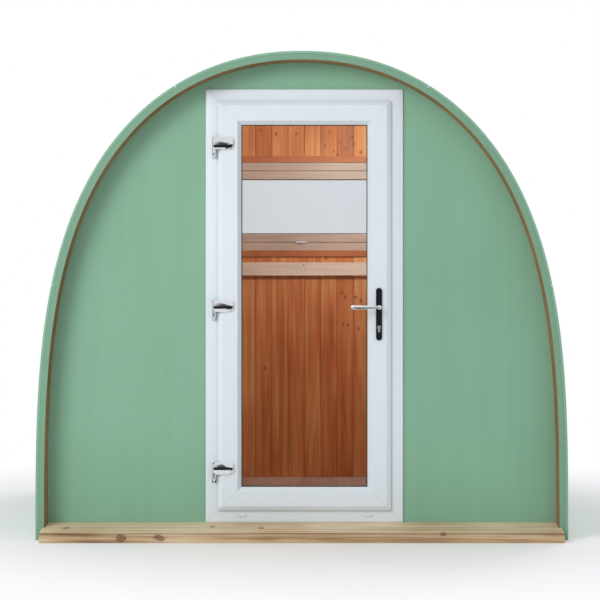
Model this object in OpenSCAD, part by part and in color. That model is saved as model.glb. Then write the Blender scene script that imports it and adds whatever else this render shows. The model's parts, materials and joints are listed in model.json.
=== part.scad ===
// Garden office pod: an arched, insulated timber cabin with a white glazed door in its front wall
// and a wide timber window in its back wall.
// Frame: +X to the right of the door, +Y from the front to the back, +Z up.
// The origin is on the ground, in the middle of the plan.

/* [Arched shell] */
// Width over the outside of the shell
pod_w = 2440; // [2200:10:3000]
// Height of the crown above the ground
pod_h = 2240; // [2200:10:2800]
// Length of the shell from its front edge to its back edge
pod_d = 2200; // [1700:10:3000]
// Flatness of the arch's crown: 2 is an ellipse, more fills out the haunches
arch_power = 3.25; // [3:0.05:4.5]
// Straightness of the arch's sides: 2 is an ellipse, more keeps them upright for longer
side_power = 2.1; // [2:0.05:3]
// Thickness of the green outer sheet
skin_t = 12; // [6:1:20]
// Thickness of the ribs and insulation behind the outer sheet
core_t = 40; // [25:1:80]
// Thickness of the inner boards
lining_t = 12; // [8:1:20]

/* [End walls] */
// Thickness of an end wall without its inner boards
wall_t = 78; // [50:1:120]
// Depth of the recess between the shell's edge and an end wall
recess_d = 110; // [60:1:180]
// Thickness of the bent rim board that lines the recess
rim_t = 28; // [18:1:45]

/* [Floor and sills] */
// Height of the flat seat on which the walls and the floor rest
seat_h = 68; // [55:1:90]
// Height of a sill's sloped front edge
sill_edge_h = 46; // [30:1:54]
// Length by which the front sill stands ahead of the rim
sill_projection = 100; // [40:1:160]
// Length by which each end of the front sill laps over the rim
sill_horn = 10; // [0:1:25]
// Thickness of the floor deck
deck_t = 18; // [15:1:30]
// Width of a floor bearer
bearer_w = 45; // [38:1:75]
// Number of floor bearers
bearer_count = 5; // [4:1:7]
// Fitting gap beside the sills, the deck and the bearers
fit = 0.5; // [0.3:0.1:2]

/* [Door frame] */
// Width over the door frame
frame_w = 915; // [760:1:1000]
// Height over the door frame
frame_h = 2008; // [1800:1:2020]
// Distance of the doorway's centre line from the pod's centre line
door_shift = 12; // [-60:1:60]
// Depth of the frame profile
frame_depth = 70; // [60:1:75]
// Length by which the frame stands ahead of the wall
frame_proud = 12; // [0:1:20]
// Width of the frame profile, up to the leaf's rebate
frame_face = 65; // [55:1:80]
// Width by which the stop behind the leaf stands into the opening
stop_w = 20; // [18:1:30]
// Width of the bevel round the frame's outer edge
frame_bevel = 8; // [2:1:15]
// Length of a drain cap
drain_cap_l = 37; // [20:1:60]
// Distance of the drain caps from the doorway's centre line
drain_cap_x = 291; // [150:1:320]

/* [Door leaf] */
// Thickness of the leaf
leaf_t = 70; // [60:1:80]
// Thickness of the leaf's edge flange with its bevel
flange_t = 17; // [10:1:22]
// Air gap between the leaf's body and the frame's rebate
hardware_gap = 12; // [10:1:14]
// Width by which the leaf's flange laps over the frame
flange_lap = 8; // [5:1:12]
// Gap behind the flange and behind the leaf, filled by rubber seals
seal_gap = 5; // [5:0.5:8]
// Width of the leaf profile from its outer edge to the glass
stile_w = 109; // [95:1:130]
// Width of the bevel round the leaf's outer edge
leaf_bevel = 20; // [8:1:24]
// Width of the bevel round the glass
glass_bevel = 18; // [6:1:24]
// Depth of the glass behind the leaf's face
glass_set_back = 22; // [10:1:26]
// Thickness of the sealed glass unit
glass_t = 28; // [20:1:32]
// Width by which the profile holds the glass unit
glass_hold = 12; // [8:1:16]

/* [Hinges] */
// Distance of the upper and lower hinges from the leaf's ends
hinge_inset = 196; // [120:1:300]
// Length of a hinge flag, measured from the pin
flag_l = 93; // [60:1:105]
// Height of a hinge flag
flag_h = 56; // [40:1:80]
// Thickness of a hinge flag
flag_t = 12; // [8:1:16]
// Height of a hinge's fixed barrel below its flag
barrel_h = 40; // [25:1:60]
// Radius of a hinge barrel
barrel_r = 9; // [7:0.5:10]
// Radius of a hinge pin
pin_r = 4; // [2.5:0.5:5]
// Running gap round a pin or a neck
running_gap = 0.3; // [0.2:0.05:0.6]
// Distance of the pin from the leaf's edge
pin_offset = 18; // [16:1:24]

/* [Handle and lock] */
// Distance of the handle from the leaf's lock edge
handle_inset = 56; // [50:1:62]
// Height of the handle above the leaf's lower edge
handle_h = 940; // [800:1:1100]
// Length of a backplate
plate_l = 243; // [200:1:270]
// Width of a backplate
plate_w = 28; // [24:1:34]
// Thickness of a backplate
plate_t = 8; // [4:1:10]
// Distance from the backplate's top to the handle's axis
plate_drop = 90; // [60:1:100]
// Length of a lever, from the axis to its tip
lever_l = 129; // [90:1:150]
// Distance from a backplate to the back of its lever
lever_gap = 33; // [25:1:45]
// Thickness of a lever
lever_t = 12; // [8:1:16]
// Radius of a lever's rounded tip
lever_tip_r = 11; // [8:0.5:12]
// Radius of a lever's neck
neck_r = 8; // [6:0.5:9]
// Radius of the spindle that joins the two levers
spindle_r = 4.5; // [3:0.5:5]

/* [Back window] */
// Width over the window frame
window_w = 1100; // [800:10:1300]
// Height over the window frame
window_h = 505; // [350:5:560]
// Height of the window frame's lower edge above the ground
window_z = 1381; // [1350:1:1400]
// Width of the window frame's profile
window_face = 47; // [35:1:60]
// Width of the sash's profile
sash_face = 48; // [35:1:60]
// Gap between the sash and the window frame
sash_gap = 2; // [1:0.5:4]
// Thickness of the sash
sash_t = 44; // [36:1:50]
// Thickness of the window's glass
pane_t = 20; // [6:1:24]
// Width of the pine trim round the window
trim_w = 34; // [20:1:50]
// Height of the rail below the window
rail_h = 75; // [50:1:100]
// Thickness of the rail below the window
rail_t = 34; // [20:1:45]
// Gap between the rail and the window's trim
rail_gap = 34; // [20:1:60]

/* [Hidden] */
$fn = 48;

// Colours
GREEN = [0.50, 0.69, 0.57];
PINE = [0.78, 0.48, 0.26];
PALE_TIMBER = [0.82, 0.74, 0.64];
TREATED_TIMBER = [0.74, 0.64, 0.46];
RIM_TIMBER = [0.50, 0.68, 0.56];
WHITE = [0.90, 0.92, 0.95];
FLOOR_GREY = [0.70, 0.70, 0.70];
GLASS = [0.75, 0.85, 0.90, 0.35];
CHROME = [0.80, 0.80, 0.82];
BLACK = [0.08, 0.09, 0.10];

// Arch
panel_count = 5;
panel_steps = 16;
arch_steps = panel_count * panel_steps;
crown_step = arch_steps / 2;
core_in = skin_t + core_t;
rim_in = skin_t + rim_t;
lining_in = core_in + lining_t;

// Depths, from the front to the back
sill_front_y = -(pod_d + sill_projection) / 2;
rim_front_y = sill_front_y + sill_projection;
wall_face_y = rim_front_y + recess_d;
wall_back_y = wall_face_y + wall_t;
room_front_y = wall_back_y + lining_t;
rim_back_y = rim_front_y + pod_d;
back_face_y = rim_back_y - recess_d;
back_inner_y = back_face_y - wall_t;
room_back_y = back_inner_y - lining_t;

// Levels
floor_z = seat_h + deck_t;
frame_top_z = seat_h + frame_h;

// Door set
door_left_x = door_shift - frame_w / 2;
door_right_x = door_shift + frame_w / 2;
frame_mid_z = seat_h + frame_h / 2;
frame_face_y = wall_face_y - frame_proud;
frame_back_y = frame_face_y + frame_depth;
flange_back_y = frame_face_y - seal_gap;
leaf_face_y = flange_back_y - flange_t;
leaf_back_y = leaf_face_y + leaf_t;
stop_y = leaf_back_y + seal_gap;
frame_margin = frame_face - flange_lap;
flange_w = hardware_gap + flange_lap;
leaf_w = frame_w - 2 * frame_margin;
leaf_h = frame_h - 2 * frame_margin;
leaf_left_x = door_shift - leaf_w / 2;
leaf_bottom_z = frame_mid_z - leaf_h / 2;
leaf_edge_t = 5;
glass_front_y = leaf_face_y + glass_set_back;
glass_back_y = glass_front_y + glass_t;
glass_lip = 3;
glass_edge_gap = 2;
glass_rebate = stile_w - glass_hold - glass_edge_gap;

// Drain caps
drain_cap_h = 14;
drain_cap_t = 6;
drain_cap_z = seat_h + 35;

// Hinges
pin_x = leaf_left_x - pin_offset;
pin_y = leaf_face_y - 1;
base_plate_t = 5;
base_plate_w = 20;
web_w = 12;
flag_end_h = 42;
flag_corner_r = 8;
hinge_gap = 0.5;
upper_hinge_z = leaf_bottom_z + leaf_h - hinge_inset;
lower_hinge_z = leaf_bottom_z + hinge_inset;
middle_hinge_z = (upper_hinge_z + lower_hinge_z) / 2;

// Handle
handle_x = leaf_left_x + leaf_w - handle_inset;
handle_z = leaf_bottom_z + handle_h;
leaf_mid_y = (leaf_face_y + leaf_back_y) / 2;
boss_r = 11.5;
boss_t = 8;
boss_gap = 0.5;
lock_r = 8.5;
lock_slot_r = 5;
lock_slot_drop = 19.5;
lock_drop = 92;
lock_proud = 2;

// Back window
window_mid_z = window_z + window_h / 2;
sash_w = window_w - 2 * (window_face + sash_gap);
sash_h = window_h - 2 * (window_face + sash_gap);
window_stop = 12;
window_frame_depth = 84;
sash_lip = 14;
pane_hold = 10;
latch_x = -20;
latch_l = 110;
latch_h = 10;
latch_t = 8;
latch_plate_l = 56;
latch_plate_h = 20;
latch_plate_t = 5;
rail_top_z = window_z - trim_w - rail_gap;

// Reach of a cutting shape past what it cuts
over = 1;

// A point on the arch, moved inwards by inset; step runs from the left foot to the right foot
function arch_point(step, inset) =
    let (
        side = step < crown_step ? -1 : 1,
        rise = 1 - abs(step / crown_step - 1),
        turn = 90 * pow(rise, arch_power / 2),
        reach = pod_w / 2 * pow(cos(turn), 2 / side_power),
        z = pod_h * pow(sin(turn), 2 / arch_power),
        slope_x = side * side_power * pow(reach, side_power - 1) / pow(pod_w / 2, side_power),
        slope_z = arch_power * pow(z, arch_power - 1) / pow(pod_h, arch_power),
        slope = norm([slope_x, slope_z])
    )
    [side * reach - inset * slope_x / slope, z - inset * slope_z / slope];

function arch_run(first, last, inset) =
    [for (step = [first : last]) arch_point(step, inset)];

function arch_run_back(first, last, inset) =
    [for (step = [last : -1 : first]) arch_point(step, inset)];

// Outline between two depths of the shell
module arch_band(first, last, outside, inside) {
    polygon(concat(arch_run(first, last, outside), arch_run_back(first, last, inside)));
}

// Whole outline within the shell, from the level low_z upwards
module arch_inside(inset, low_z) {
    intersection() {
        polygon(arch_run(0, arch_steps, inset));
        translate([-pod_w, low_z]) square([2 * pod_w, 2 * pod_h]);
    }
}

// Turns an outline in X and Z into a solid between two depths
module along_y(front, back) {
    translate([0, back, 0]) rotate([90, 0, 0]) linear_extrude(back - front) children();
}

// Rectangle between two corners
module area(low, high) {
    translate(low) square(high - low);
}

// Straight bar with mitred ends; section holds points of depth and distance from the outer edge
module mitred_bar(length, reach, section) {
    intersection() {
        translate([-length / 2, 0, 0]) rotate([90, 0, 90]) linear_extrude(length) polygon(section);
        along_y(-pod_d, pod_d)
            polygon([
                [-length / 2, 0], [length / 2, 0],
                [length / 2 - reach, reach], [reach - length / 2, reach]
            ]);
    }
}

// Four mitred bars round an opening, centred on X and Z
module mitred_frame(width, height, reach, section) {
    for (side = [0, 1]) {
        mirror([0, 0, side]) translate([0, 0, -height / 2]) mitred_bar(width, reach, section);
        mirror([side, 0, 0]) translate([-width / 2, 0, 0]) rotate([0, 90, 0])
            mitred_bar(height, reach, section);
    }
}

// Floor and sills
module floor_bearers() {
    span = pod_w - 2 * core_in - 2 * fit - bearer_w;
    color(TREATED_TIMBER)
        for (i = [0 : bearer_count - 1])
            translate([span * (i / (bearer_count - 1) - 0.5) - bearer_w / 2, wall_back_y, 0])
                cube([bearer_w, back_inner_y - wall_back_y, seat_h]);
}

module floor_deck() {
    half = pod_w / 2 - core_in - fit;
    color(FLOOR_GREY)
        along_y(wall_back_y, back_inner_y) area([-half, seat_h], [half, floor_z]);
}

// Sill board under an end wall, drawn for the front: its top slopes down ahead of the wall
module sill(projection, horn) {
    front_y = rim_front_y - projection;
    in_wall = pod_w / 2 - skin_t - fit;
    in_rim = pod_w / 2 - rim_in - fit;
    lapped = pod_w / 2 - rim_in + horn;
    ahead = projection > 0 ? [[-lapped, front_y], [lapped, front_y], [lapped, rim_front_y]] : [];
    ahead_left = projection > 0 ? [[-lapped, rim_front_y]] : [];
    intersection() {
        linear_extrude(seat_h)
            polygon(concat(ahead, [
                [in_rim, rim_front_y], [in_rim, wall_face_y], [in_wall, wall_face_y],
                [in_wall, wall_back_y], [-in_wall, wall_back_y], [-in_wall, wall_face_y],
                [-in_rim, wall_face_y], [-in_rim, rim_front_y]
            ], ahead_left));
        translate([-pod_w / 2, 0, 0]) rotate([90, 0, 90]) linear_extrude(pod_w)
            polygon([
                [front_y, 0], [wall_back_y, 0], [wall_back_y, seat_h],
                [frame_face_y, seat_h], [front_y, sill_edge_h]
            ]);
    }
}

module front_sill() {
    color(TREATED_TIMBER) sill(sill_projection, sill_horn);
}

module back_sill() {
    color(TREATED_TIMBER)
        translate([0, rim_front_y + rim_back_y, 0]) mirror([0, 1, 0]) sill(0, 0);
}

// Shell
module shell_panel(index) {
    first = index * panel_steps;
    last = first + panel_steps;
    color(GREEN) {
        along_y(rim_front_y, rim_back_y) arch_band(first, last, 0, skin_t);
        along_y(wall_back_y, back_inner_y) arch_band(first, last, skin_t, core_in);
    }
}

module left_side_panel() {
    shell_panel(0);
}

module left_haunch_panel() {
    shell_panel(1);
}

module crown_panel() {
    shell_panel(2);
}

module right_haunch_panel() {
    shell_panel(3);
}

module right_side_panel() {
    shell_panel(4);
}

module arch_lining() {
    color(PINE)
        along_y(room_front_y, room_back_y)
            difference() {
                arch_inside(core_in, floor_z);
                arch_inside(lining_in, floor_z - over);
            }
}

module rim(first, last, front) {
    color(RIM_TIMBER) along_y(front, front + recess_d) arch_band(first, last, skin_t, rim_in);
}

module front_rim_left() {
    rim(0, crown_step, rim_front_y);
}

module front_rim_right() {
    rim(crown_step, arch_steps, rim_front_y);
}

module back_rim_left() {
    rim(0, crown_step, back_face_y);
}

module back_rim_right() {
    rim(crown_step, arch_steps, back_face_y);
}

// End walls
module front_wall_part(low, high) {
    color(GREEN)
        along_y(wall_face_y, wall_back_y)
            intersection() {
                arch_inside(skin_t, seat_h);
                area(low, high);
            }
}

module front_wall_left() {
    front_wall_part([-pod_w, 0], [door_left_x, pod_h]);
}

module front_wall_right() {
    front_wall_part([door_right_x, 0], [pod_w, pod_h]);
}

module front_wall_head() {
    front_wall_part([door_left_x, frame_top_z], [door_right_x, pod_h]);
}

module front_lining() {
    color(PINE)
        along_y(wall_back_y, room_front_y)
            difference() {
                arch_inside(core_in, floor_z);
                area([door_left_x, 0], [door_right_x, frame_top_z]);
            }
}

module back_wall_part(low, high) {
    color(GREEN)
        along_y(back_inner_y, back_face_y)
            intersection() {
                arch_inside(skin_t, seat_h);
                area(low, high);
            }
}

module back_wall_left() {
    back_wall_part([-pod_w, 0], [-window_w / 2, pod_h]);
}

module back_wall_right() {
    back_wall_part([window_w / 2, 0], [pod_w, pod_h]);
}

module back_wall_below() {
    back_wall_part([-window_w / 2, 0], [window_w / 2, window_z]);
}

module back_wall_above() {
    back_wall_part([-window_w / 2, window_z + window_h], [window_w / 2, pod_h]);
}

module back_lining() {
    color(PINE)
        along_y(room_back_y, back_inner_y)
            difference() {
                arch_inside(core_in, floor_z);
                area([-window_w / 2, window_z], [window_w / 2, window_z + window_h]);
            }
}

// Back window
module window_ring(width, height, face, front, back) {
    translate([0, 0, window_mid_z])
        along_y(front, back)
            difference() {
                square([width, height], center = true);
                square([width - 2 * face, height - 2 * face], center = true);
            }
}

module window_frame() {
    color(PALE_TIMBER) {
        window_ring(window_w, window_h, window_face, room_back_y, room_back_y + sash_t);
        window_ring(window_w, window_h, window_face + window_stop,
            room_back_y + sash_t, room_back_y + window_frame_depth);
    }
}

module window_sash() {
    color(PALE_TIMBER) {
        window_ring(sash_w, sash_h, sash_face, room_back_y, room_back_y + sash_lip);
        window_ring(sash_w, sash_h, sash_face - pane_hold, room_back_y + sash_lip, room_back_y + sash_t);
    }
}

module window_glass() {
    width = sash_w - 2 * (sash_face - pane_hold);
    height = sash_h - 2 * (sash_face - pane_hold);
    color(GLASS)
        translate([0, 0, window_mid_z])
            along_y(room_back_y + sash_lip, room_back_y + sash_lip + pane_t)
                square([width, height], center = true);
}

module window_latch() {
    latch_z = window_z + window_face;
    color(CHROME) {
        translate([latch_x, 0, latch_z])
            along_y(room_back_y - latch_plate_t, room_back_y)
                square([latch_plate_l, latch_plate_h], center = true);
        translate([latch_x, 0, latch_z])
            along_y(room_back_y - latch_plate_t - latch_t, room_back_y - latch_plate_t)
                square([latch_l, latch_h], center = true);
    }
}

module window_trim() {
    color(PINE)
        window_ring(window_w + 2 * trim_w, window_h + 2 * trim_w, trim_w,
            room_back_y - lining_t, room_back_y);
}

module back_wall_rail() {
    half = window_w / 2 + trim_w;
    color(PALE_TIMBER)
        along_y(room_back_y - rail_t, room_back_y)
            area([-half, rail_top_z - rail_h], [half, rail_top_z]);
}

// Door frame
module door_frame() {
    rebate = frame_face + stop_w;
    color(WHITE)
        translate([door_shift, 0, frame_mid_z])
            mitred_frame(frame_w, frame_h, rebate, [
                [frame_face_y + frame_bevel / 2, 0], [frame_face_y, frame_bevel],
                [frame_face_y, frame_face], [stop_y, frame_face], [stop_y, rebate],
                [frame_back_y, rebate], [frame_back_y, 0]
            ]);
}

module drain_caps() {
    color(WHITE)
        for (side = [-1, 1])
            translate([door_shift + side * drain_cap_x, 0, drain_cap_z])
                along_y(frame_face_y - drain_cap_t, frame_face_y)
                    square([drain_cap_l, drain_cap_h], center = true);
}

// Outline of the lock cylinder, round its upper centre
module lock_outline() {
    circle(lock_r);
    translate([-lock_slot_r, -lock_slot_drop]) square([2 * lock_slot_r, lock_slot_drop]);
    translate([0, -lock_slot_drop]) circle(lock_slot_r);
}

// Bore for a neck or a spindle, on the handle's axis
module handle_bore(radius, front, back) {
    translate([handle_x, 0, handle_z]) along_y(front, back) circle(radius);
}

// Slot for the lock cylinder
module lock_cut(front, back) {
    translate([handle_x, 0, handle_z - lock_drop]) along_y(front, back) lock_outline();
}

module door_leaf() {
    color(WHITE)
        difference() {
            translate([door_shift, 0, frame_mid_z])
                mitred_frame(leaf_w, leaf_h, stile_w, [
                    [flange_back_y, 0], [flange_back_y - leaf_edge_t, 0],
                    [leaf_face_y, leaf_bevel], [leaf_face_y, stile_w - glass_bevel],
                    [glass_front_y - glass_lip, stile_w], [glass_front_y, stile_w],
                    [glass_front_y, glass_rebate], [leaf_back_y, glass_rebate],
                    [leaf_back_y, flange_w], [flange_back_y, flange_w]
                ]);
            handle_bore(neck_r, leaf_face_y - over, leaf_back_y + over);
            lock_cut(leaf_face_y - over, leaf_back_y + over);
        }
}

module door_glass() {
    width = leaf_w - 2 * (stile_w - glass_hold);
    height = leaf_h - 2 * (stile_w - glass_hold);
    color(GLASS)
        translate([door_shift, 0, frame_mid_z])
            along_y(glass_front_y, glass_back_y) square([width, height], center = true);
}

module glazing_beads() {
    width = leaf_w - 2 * glass_rebate;
    height = leaf_h - 2 * glass_rebate;
    bead = stile_w - glass_rebate;
    color(WHITE)
        translate([door_shift, 0, frame_mid_z])
            mitred_frame(width, height, bead, [
                [glass_back_y, 0], [leaf_back_y, 0], [leaf_back_y, bead / 2], [glass_back_y, bead]
            ]);
}

// Hinges
module hinge_base(level) {
    low = -flag_h / 2 - barrel_h;
    color(CHROME)
        translate([pin_x, pin_y, level]) {
            translate([-base_plate_w / 2, frame_face_y - base_plate_t - pin_y, low])
                cube([base_plate_w, base_plate_t, flag_h + barrel_h]);
            translate([-web_w / 2, 0, low])
                cube([web_w, frame_face_y - base_plate_t - pin_y, barrel_h - hinge_gap]);
            translate([0, 0, low]) cylinder(r = barrel_r, h = barrel_h - hinge_gap);
            translate([0, 0, low]) cylinder(r = pin_r, h = flag_h + barrel_h);
        }
}

module hinge_flag(level) {
    // The flag's back lies on the leaf's face, one pin offset behind the pin's axis
    back = leaf_face_y - pin_y;
    color(CHROME)
        translate([pin_x, pin_y, level])
            difference() {
                union() {
                    translate([0, 0, -flag_h / 2]) cylinder(r = barrel_r, h = flag_h);
                    along_y(back - flag_t, back) flag_outline();
                }
                translate([0, 0, -flag_h / 2 - over])
                    cylinder(r = pin_r + running_gap, h = flag_h + 2 * over);
            }
}

// Outline of a flag: it narrows away from the pin and ends in round corners
module flag_outline() {
    polygon([
        [0, -flag_h / 2], [flag_l - flag_corner_r, -flag_end_h / 2],
        [flag_l - flag_corner_r, flag_end_h / 2], [0, flag_h / 2]
    ]);
    area([flag_l - 2 * flag_corner_r, flag_corner_r - flag_end_h / 2],
        [flag_l, flag_end_h / 2 - flag_corner_r]);
    for (side = [-1, 1])
        translate([flag_l - flag_corner_r, side * (flag_end_h / 2 - flag_corner_r)])
            circle(flag_corner_r);
}

module upper_hinge_base() {
    hinge_base(upper_hinge_z);
}

module middle_hinge_base() {
    hinge_base(middle_hinge_z);
}

module lower_hinge_base() {
    hinge_base(lower_hinge_z);
}

module upper_hinge_flag() {
    hinge_flag(upper_hinge_z);
}

module middle_hinge_flag() {
    hinge_flag(middle_hinge_z);
}

module lower_hinge_flag() {
    hinge_flag(lower_hinge_z);
}

// Handle and lock
module backplate_outline() {
    straight = plate_l - plate_w;
    translate([-plate_w / 2, plate_drop - plate_w / 2 - straight]) square([plate_w, straight]);
    translate([0, plate_drop - plate_w / 2]) circle(plate_w / 2);
    translate([0, plate_drop - plate_w / 2 - straight]) circle(plate_w / 2);
}

module backplate(front, back) {
    difference() {
        translate([handle_x, 0, handle_z]) along_y(front, back) backplate_outline();
        handle_bore(neck_r + running_gap, front - over, back + over);
        lock_cut(front - over, back + over);
    }
}

module handle_backplates() {
    color(BLACK) {
        backplate(leaf_face_y - plate_t, leaf_face_y);
        backplate(leaf_back_y, leaf_back_y + plate_t);
    }
}

module lock_cylinder() {
    color(CHROME)
        lock_cut(leaf_face_y - plate_t - lock_proud, leaf_back_y + plate_t + lock_proud);
}

// Outline of a lever, which points to the hinges and widens towards its tip
module lever_outline() {
    tip = lever_tip_r - lever_l;
    circle(boss_r - 2);
    translate([tip, 0]) circle(lever_tip_r);
    polygon([[0, -neck_r], [0, neck_r], [tip, lever_tip_r], [tip, -lever_tip_r]]);
}

// Lever, boss and neck, drawn for the outside of the leaf
module lever() {
    plate_y = leaf_face_y - plate_t;
    grip_y = plate_y - lever_gap;
    translate([handle_x, 0, handle_z]) {
        along_y(grip_y - lever_t, grip_y) lever_outline();
        along_y(grip_y, leaf_face_y) circle(neck_r);
        along_y(plate_y - boss_gap - boss_t, plate_y - boss_gap) circle(boss_r);
    }
}

module outer_lever() {
    grip = plate_t + lever_gap;
    color(CHROME) {
        lever();
        handle_bore(spindle_r, leaf_face_y, leaf_back_y + grip);
    }
}

module inner_lever() {
    grip = plate_t + lever_gap;
    color(CHROME)
        difference() {
            translate([0, 2 * leaf_mid_y, 0]) mirror([0, 1, 0]) lever();
            handle_bore(spindle_r, leaf_back_y - over, leaf_back_y + grip);
        }
}

floor_bearers();
floor_deck();
front_sill();
back_sill();
left_side_panel();
left_haunch_panel();
crown_panel();
right_haunch_panel();
right_side_panel();
arch_lining();
front_rim_left();
front_rim_right();
back_rim_left();
back_rim_right();
front_wall_left();
front_wall_right();
front_wall_head();
front_lining();
back_wall_left();
back_wall_right();
back_wall_below();
back_wall_above();
back_lining();
window_frame();
window_sash();
window_glass();
window_latch();
window_trim();
back_wall_rail();
door_frame();
drain_caps();
door_leaf();
door_glass();
glazing_beads();
upper_hinge_base();
middle_hinge_base();
lower_hinge_base();
upper_hinge_flag();
middle_hinge_flag();
lower_hinge_flag();
handle_backplates();
lock_cylinder();
outer_lever();
inner_lever();
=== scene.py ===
# %% [markdown]
# # A garden office pod
# This lesson dresses a CAD model of an arched garden office in its real finishes. The CAD model
# is the fixed frame: it has the true sizes, the bodies that move and a name for each sub-part.
# Plain parts keep their CAD mesh and get a finish. Curved shells, boards and fittings are built anew in
# the same place, because they need smoother or finer shapes than the CAD model carries.

# %% Load the imported frame
import json
import math
import random

import bmesh
import bpy
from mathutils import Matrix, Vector

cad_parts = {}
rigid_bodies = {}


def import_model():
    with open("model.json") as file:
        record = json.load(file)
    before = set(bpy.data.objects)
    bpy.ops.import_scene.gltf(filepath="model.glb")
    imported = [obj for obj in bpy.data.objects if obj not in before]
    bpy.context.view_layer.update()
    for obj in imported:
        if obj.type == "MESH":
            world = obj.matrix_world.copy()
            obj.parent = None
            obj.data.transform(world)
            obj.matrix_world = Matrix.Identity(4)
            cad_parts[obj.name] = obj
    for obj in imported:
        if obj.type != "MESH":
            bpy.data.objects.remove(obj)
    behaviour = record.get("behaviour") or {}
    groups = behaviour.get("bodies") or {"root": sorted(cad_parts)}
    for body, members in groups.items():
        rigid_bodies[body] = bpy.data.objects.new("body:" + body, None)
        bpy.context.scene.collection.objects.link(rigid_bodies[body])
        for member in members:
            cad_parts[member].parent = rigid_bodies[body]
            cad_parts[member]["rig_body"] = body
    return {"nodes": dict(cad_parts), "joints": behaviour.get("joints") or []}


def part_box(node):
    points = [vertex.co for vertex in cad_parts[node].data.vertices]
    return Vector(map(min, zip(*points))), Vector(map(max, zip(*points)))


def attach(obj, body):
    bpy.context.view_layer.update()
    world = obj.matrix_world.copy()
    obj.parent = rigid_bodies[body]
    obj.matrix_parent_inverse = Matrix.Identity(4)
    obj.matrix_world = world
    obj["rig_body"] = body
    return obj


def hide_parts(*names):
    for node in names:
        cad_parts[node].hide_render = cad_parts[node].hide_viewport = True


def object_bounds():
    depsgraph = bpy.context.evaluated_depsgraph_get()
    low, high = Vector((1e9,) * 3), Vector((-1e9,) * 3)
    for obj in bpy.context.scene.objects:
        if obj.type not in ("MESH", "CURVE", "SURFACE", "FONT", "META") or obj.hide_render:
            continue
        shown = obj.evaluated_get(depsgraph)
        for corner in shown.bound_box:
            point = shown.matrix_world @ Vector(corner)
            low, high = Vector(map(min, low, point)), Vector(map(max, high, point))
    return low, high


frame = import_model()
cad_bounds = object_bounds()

nodes = frame["nodes"]
chance = random.Random(12)

# %% [markdown]
# ## The arch
# The shell follows one formula: across the pod to one power plus height to another. A formula gives
# any number of smooth points, where a traced outline would wobble. Every curved piece asks the same
# function for its points and says how far inside the outer surface it lies.

# %% The arch's formula
HALF_W = (cad_bounds[1][0] - cad_bounds[0][0]) / 2
CROWN_Z = cad_bounds[1][2]
ARCH_POWER = 3.25
SIDE_POWER = 2.1


def arch_point(step, inset):
    """A point of the arch's outline, with step from -1 at the left foot to 1 at the right foot."""
    turn = math.pi / 2 * (1 - abs(step)) ** (ARCH_POWER / 2)
    reach = HALF_W * max(math.cos(turn), 0) ** (2 / SIDE_POWER)
    z = CROWN_Z * math.sin(turn) ** (2 / ARCH_POWER)
    slope_x = SIDE_POWER * reach ** (SIDE_POWER - 1) / HALF_W ** SIDE_POWER
    slope_z = ARCH_POWER * z ** (ARCH_POWER - 1) / CROWN_Z ** ARCH_POWER
    slope = math.hypot(slope_x, slope_z)
    side = -1 if step < 0 else 1
    return side * (reach - inset * slope_x / slope), z - inset * slope_z / slope


def arch_height(x, inset):
    """Height of the outline above a place across the pod, found by halving."""
    near, far = 0.0, 1.0
    for _ in range(40):
        middle = (near + far) / 2
        if arch_point(middle, inset)[0] < abs(x):
            near = middle
        else:
            far = middle
    return arch_point(far, inset)[1]


print("arch", round(2 * HALF_W, 3), "m wide and", round(CROWN_Z, 3), "m high")

# %% [markdown]
# ## Levels and thicknesses
# Every place comes from the frame: a node's box says where its real part begins and ends.

# %% Places taken from the frame
SHELL_FRONT, SHELL_BACK = (corner.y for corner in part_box("crown_panel"))
WALL_FACE, WALL_BACK = (corner.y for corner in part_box("front_wall_left"))
BACK_INNER, BACK_FACE = (corner.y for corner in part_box("back_wall_left"))
ROOM_FRONT, ROOM_BACK = (corner.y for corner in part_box("arch_lining"))
FLOOR_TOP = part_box("floor_deck")[1].z
LEAF_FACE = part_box("door_leaf")[0].y
SKIN = HALF_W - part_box("front_rim_right")[1].x
CORE = HALF_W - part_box("arch_lining")[1].x
LINING = CORE + ROOM_FRONT - WALL_BACK
RIM_BOARD_T = 0.028
RIM = SKIN + RIM_BOARD_T
print("room from", round(ROOM_FRONT, 3), "to", round(ROOM_BACK, 3), "m; floor at", round(FLOOR_TOP, 3))

# %% [markdown]
# ## Small tools for meshes
# A piece is a list of closed solids, and each solid is points, faces, a paint number for each face and
# a tone. The tone is stored on the points, so one wood finish can make each board a little different.

# %% Solids from outlines
AXES = {"x": (1, 2, 0), "y": (0, 2, 1), "z": (0, 1, 2)}


def prism(outline, axis, low, high, tone=0.5, paint=0):
    """A solid from an outline across an axis, between two places along that axis."""
    across, up, along = AXES[axis]
    points = []
    for place in (low, high):
        for a, b in outline:
            point = [0.0, 0.0, 0.0]
            point[across], point[up], point[along] = a, b, place
            points.append(point)
    count = len(outline)
    faces = [list(range(count))[::-1], list(range(count, 2 * count))]
    faces += [[i, (i + 1) % count, (i + 1) % count + count, i + count] for i in range(count)]
    return points, faces, [paint] * len(faces), tone


def box_outline(low_a, low_b, high_a, high_b):
    return [(low_a, low_b), (high_a, low_b), (high_a, high_b), (low_a, high_b)]


def rounded(low_a, low_b, high_a, high_b, radius, steps=8):
    """The outline of a rectangle with round corners."""
    centres = [(high_a - radius, high_b - radius), (low_a + radius, high_b - radius),
               (low_a + radius, low_b + radius), (high_a - radius, low_b + radius)]
    outline = []
    for quarter, (a, b) in enumerate(centres):
        for i in range(steps + 1):
            turn = math.pi / 2 * (quarter + i / steps)
            outline.append((a + radius * math.cos(turn), b + radius * math.sin(turn)))
    return outline


print("a square bar is a solid of", len(prism(box_outline(0, 0, 1, 1), "y", 0, 1)[0]), "points")

# %% [markdown]
# Screws, knuckles and stems are round, as if they came off a lathe: a profile spun about an axis.

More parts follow.
